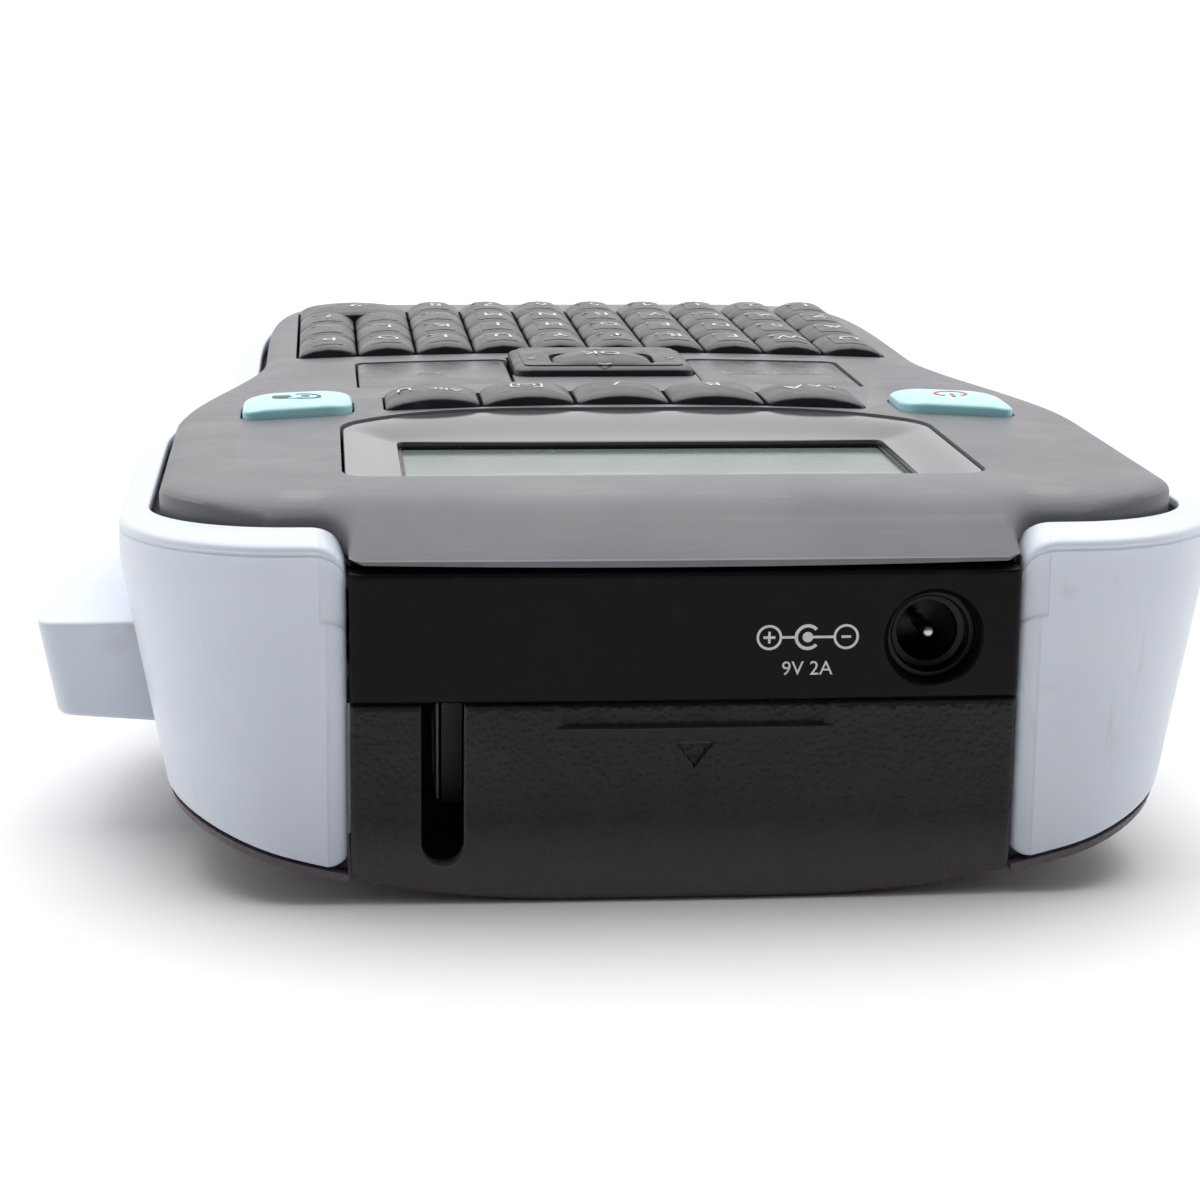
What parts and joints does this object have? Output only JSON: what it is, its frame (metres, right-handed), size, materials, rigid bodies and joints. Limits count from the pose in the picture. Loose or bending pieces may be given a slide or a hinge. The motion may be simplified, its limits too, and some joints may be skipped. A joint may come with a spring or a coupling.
{
  "type": "label maker",
  "caption": "Hand-held thermal label maker: letter keypad, display window, side cutter lever, tape exit slot, hinged cassette and battery covers, and a geared tape drive inside.",
  "frame": {"origin": "on the flat of the back, midway along the body and on its centre line", "axes": "+X to the user's right, where the cutter lever is; +Y towards the tape exit end; +Z out of the keypad"},
  "size_m": [0.1275, 0.2066, 0.0446],
  "materials": {
    "black_plastic": "textured satin",
    "face_plastic": "fine textured satin",
    "white_plastic": "smooth satin",
    "window_grey": "polished",
    "lcd_grey": "grey green display under a clear window",
    "key_rubber": "satin silicone",
    "key_plastic": "satin",
    "turquoise_plastic": "glossy, slightly translucent",
    "board_green": "solder mask",
    "steel": "bare",
    "cell_wrap": "printed wrap",
    "head_ceramic": "ceramic",
    "cassette_grey": "moulded",
    "label_white": "smooth",
    "gear_plastic": "moulded acetal",
    "roller_rubber": "matt"
  },
  "bodies": {
    "housing": {"back_case": "black_plastic", "face_cover": "face_plastic", "side_shell_right": "white_plastic", "side_shell_left": "white_plastic", "end_panel": "black_plastic", "window_frame": "window_grey", "lcd_panel": "lcd_grey", "keymat": "key_rubber", "main_board": "board_green", "dc_jack": "black_plastic", "dc_jack_pin": "steel", "battery_tray": "black_plastic", "contact_near_1": "steel", "contact_near_2": "steel", "contact_near_3": "steel", "contact_far_1": "steel", "contact_far_2": "steel", "contact_far_3": "steel", "contact_far_4": "steel", "battery_1": "cell_wrap", "battery_2": "cell_wrap", "battery_3": "cell_wrap", "battery_4": "cell_wrap", "battery_5": "cell_wrap", "battery_6": "cell_wrap", "case_screw_1": "steel", "case_screw_2": "steel", "chassis": "black_plastic", "motor": "steel", "print_head": "head_ceramic", "head_bracket": "steel", "cutter_anvil": "steel", "lever_pivot_pin": "steel", "lever_spring": "steel", "tape_cassette": "cassette_grey", "label_tape": "label_white"},
    "tape_cover": {"tape_cover": "black_plastic"},
    "battery_cover": {"battery_cover": "black_plastic"},
    "cutter_lever": {"cutter_lever": "white_plastic"},
    "cutter_blade": {"blade_carrier": "gear_plastic", "cutter_blade": "steel"},
    "platen": {"platen_gear": "gear_plastic", "platen_roller": "roller_rubber"},
    "idler": {"idler_gear": "gear_plastic"},
    "pinion": {"motor_pinion": "gear_plastic"},
    "ribbon_drive": {"ribbon_spindle": "gear_plastic", "ribbon_spool": "black_plastic"},
    "label_spool": {"label_spool": "label_white"},
    "function_key_1": {"function_key_1": "key_plastic"},
    "function_key_2": {"function_key_2": "key_plastic"},
    "function_key_3": {"function_key_3": "key_plastic"},
    "function_key_4": {"function_key_4": "key_plastic"},
    "function_key_5": {"function_key_5": "key_plastic"},
    "print_button": {"print_button": "turquoise_plastic"},
    "power_button": {"power_button": "turquoise_plastic"},
    "soft_key_right": {"soft_key_right": "key_plastic"},
    "soft_key_left": {"soft_key_left": "key_plastic"},
    "nav_plate": {"nav_plate": "key_plastic"},
    "ok_key": {"ok_key": "key_plastic"}
  },
  "joints": [
    {"name": "tape_cover_hinge", "type": "hinge", "parent": "housing", "child": "tape_cover", "pos_m": [0, 0.0105, 0.0009], "axis": [-1, 0, 0], "range_deg": [0, 100]},
    {"name": "battery_cover_hinge", "type": "hinge", "parent": "housing", "child": "battery_cover", "pos_m": [0, -0.074, 0.0009], "axis": [-1, 0, 0], "range_deg": [0, 75]},
    {"name": "cutter_press", "type": "hinge", "parent": "housing", "child": "cutter_lever", "pos_m": [0.045, 0.031, 0.012], "axis": [0, 0, 1], "range_deg": [0, 10], "stiffness_Nm_per_rad": 0.5},
    {"name": "blade_slide", "type": "slide", "parent": "housing", "child": "cutter_blade", "axis": [-1, 0, 0], "range_m": [0, 0.0081]},
    {"name": "platen_spin", "type": "hinge", "parent": "housing", "child": "platen", "pos_m": [0.028, 0.081, 0.029], "axis": [0, 0, 1], "continuous": true},
    {"name": "idler_spin", "type": "hinge", "parent": "housing", "child": "idler", "pos_m": [0.028, 0.06, 0.029], "axis": [0, 0, 1], "continuous": true},
    {"name": "pinion_spin", "type": "hinge", "parent": "housing", "child": "pinion", "pos_m": [0.028, 0.043, 0.029], "axis": [0, 0, 1], "continuous": true},
    {"name": "ribbon_spin", "type": "hinge", "parent": "housing", "child": "ribbon_drive", "pos_m": [0.008, 0.06, 0.029], "axis": [0, 0, 1], "continuous": true},
    {"name": "label_spool_spin", "type": "hinge", "parent": "housing", "child": "label_spool", "pos_m": [-0.017, 0.067, 0.013], "axis": [0, 0, 1], "continuous": true},
    {"name": "function_key_1_press", "type": "slide", "parent": "housing", "child": "function_key_1", "axis": [0, 0, -1], "range_m": [0, 0.0008], "stiffness_N_per_m": 400},
    {"name": "function_key_2_press", "type": "slide", "parent": "housing", "child": "function_key_2", "axis": [0, 0, -1], "range_m": [0, 0.0008], "stiffness_N_per_m": 400},
    {"name": "function_key_3_press", "type": "slide", "parent": "housing", "child": "function_key_3", "axis": [0, 0, -1], "range_m": [0, 0.0008], "stiffness_N_per_m": 400},
    {"name": "function_key_4_press", "type": "slide", "parent": "housing", "child": "function_key_4", "axis": [0, 0, -1], "range_m": [0, 0.0008], "stiffness_N_per_m": 400},
    {"name": "function_key_5_press", "type": "slide", "parent": "housing", "child": "function_key_5", "axis": [0, 0, -1], "range_m": [0, 0.0008], "stiffness_N_per_m": 400},
    {"name": "print_button_press", "type": "slide", "parent": "housing", "child": "print_button", "axis": [0, 0, -1], "range_m": [0, 0.0008], "stiffness_N_per_m": 400},
    {"name": "power_button_press", "type": "slide", "parent": "housing", "child": "power_button", "axis": [0, 0, -1], "range_m": [0, 0.0008], "stiffness_N_per_m": 400},
    {"name": "soft_key_right_press", "type": "slide", "parent": "housing", "child": "soft_key_right", "axis": [0, 0, -1], "range_m": [0, 0.0008], "stiffness_N_per_m": 400},
    {"name": "soft_key_left_press", "type": "slide", "parent": "housing", "child": "soft_key_left", "axis": [0, 0, -1], "range_m": [0, 0.0008], "stiffness_N_per_m": 400},
    {"name": "nav_plate_press", "type": "slide", "parent": "housing", "child": "nav_plate", "axis": [0, 0, -1], "range_m": [0, 0.0008], "stiffness_N_per_m": 400},
    {"name": "ok_key_press", "type": "slide", "parent": "housing", "child": "ok_key", "axis": [0, 0, -1], "range_m": [0, 0.0008], "stiffness_N_per_m": 400}
  ],
  "couplings": [
    {"joint": "blade_slide", "follows": "cutter_press", "m_per_rad": 0.045837},
    {"joint": "idler_spin", "follows": "platen_spin", "ratio": -0.75},
    {"joint": "pinion_spin", "follows": "platen_spin", "ratio": 1.8},
    {"joint": "ribbon_spin", "follows": "platen_spin", "ratio": 1.125},
    {"joint": "label_spool_spin", "follows": "platen_spin", "ratio": 0.138}
  ]
}
